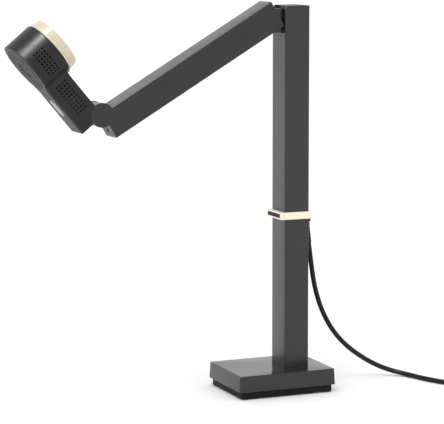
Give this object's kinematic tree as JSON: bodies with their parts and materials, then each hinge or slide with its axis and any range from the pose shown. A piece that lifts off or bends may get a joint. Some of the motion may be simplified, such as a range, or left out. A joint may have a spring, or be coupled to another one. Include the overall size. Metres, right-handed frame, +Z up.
{
  "type": "document camera",
  "caption": "Desk document camera: weighted base, square column, tilting arm, folding camera head with lamp and grooved knob, rest collar and a USB lead.",
  "frame": {"origin": "centre of the base's underside", "axes": "+Z up along the column; the arm and head reach out towards -X; the pivots turn about Y; -Y is the side with the cable's coil"},
  "size_m": [0.5324, 0.1575, 0.3879],
  "materials": {
    "gloss_black": "high gloss",
    "satin_black": "satin",
    "painted_black": "black satin paint",
    "face_grey": "fine grain",
    "rubber": "matt",
    "steel": "machined",
    "aluminium": "machined",
    "cream": "satin",
    "black_part": "moulded",
    "circuit_board": "solder mask",
    "cable_jacket": "satin",
    "plug_metal": "plated",
    "screen_cloth": "woven",
    "glass": "clear",
    "diffuser": "frosted"
  },
  "bodies": {
    "stand": {"base_cover": "gloss_black", "base_plinth": "black_part", "rubber_pad": "rubber", "ballast_weight": "steel", "base_screws": "steel", "column_foot": "aluminium", "column_foot_bolts": "steel", "column_set_screws": "steel", "column_tube": "painted_black", "hinge_block": "painted_black", "hinge_block_screws": "steel", "column_top_cap": "satin_black", "collar_band": "cream", "collar_pad": "rubber", "cable_outlet": "satin_black", "strain_relief": "rubber", "usb_cable": "cable_jacket", "usb_cable_coil": "cable_jacket", "coil_tie": "satin_black", "column_lead": "cable_jacket", "usb_plug_relief": "rubber", "usb_plug_body": "satin_black", "usb_plug_shell": "plug_metal", "usb_plug_tongue": "black_part"},
    "arm": {"arm_tube": "painted_black", "arm_pivot_shaft": "steel", "arm_pivot_covers": "painted_black", "arm_pivot_washers": "black_part", "arm_end_cap": "satin_black", "arm_end_screw": "steel", "arm_lead": "cable_jacket", "elbow_shaft": "steel", "elbow_washers": "black_part", "elbow_covers": "painted_black"},
    "head": {"head_shell": "satin_black", "head_front_plate": "face_grey", "sound_screen": "screen_cloth", "vent_screens": "screen_cloth", "head_knuckle": "painted_black", "lens_window": "glass", "lens_bezel": "black_part", "lens_barrel": "black_part", "lens_element": "glass", "sensor_board": "circuit_board", "main_board": "circuit_board", "board_posts": "steel", "lamp_diffuser": "diffuser", "lamp_board": "circuit_board", "lamp_leds": "diffuser", "head_screws": "steel", "rotary_switch": "black_part"},
    "knob": {"knob": "cream", "knob_cap": "cream", "knob_spindle": "steel"}
  },
  "joints": [
    {"name": "arm_tilt", "type": "hinge", "parent": "stand", "child": "arm", "pos_m": [-0.0056, 0, 0.36935], "axis": [0, 1, 0], "range_deg": [-58.4, 40]},
    {"name": "head_tilt", "type": "hinge", "parent": "arm", "child": "head", "pos_m": [-0.18274, 0, 0.28333], "axis": [0, 1, 0], "range_deg": [-80, 80]},
    {"name": "knob_turn", "type": "hinge", "parent": "head", "child": "knob", "pos_m": [-0.23331, 0, 0.34403], "axis": [0.7683, 0, 0.6401], "continuous": true}
  ]
}
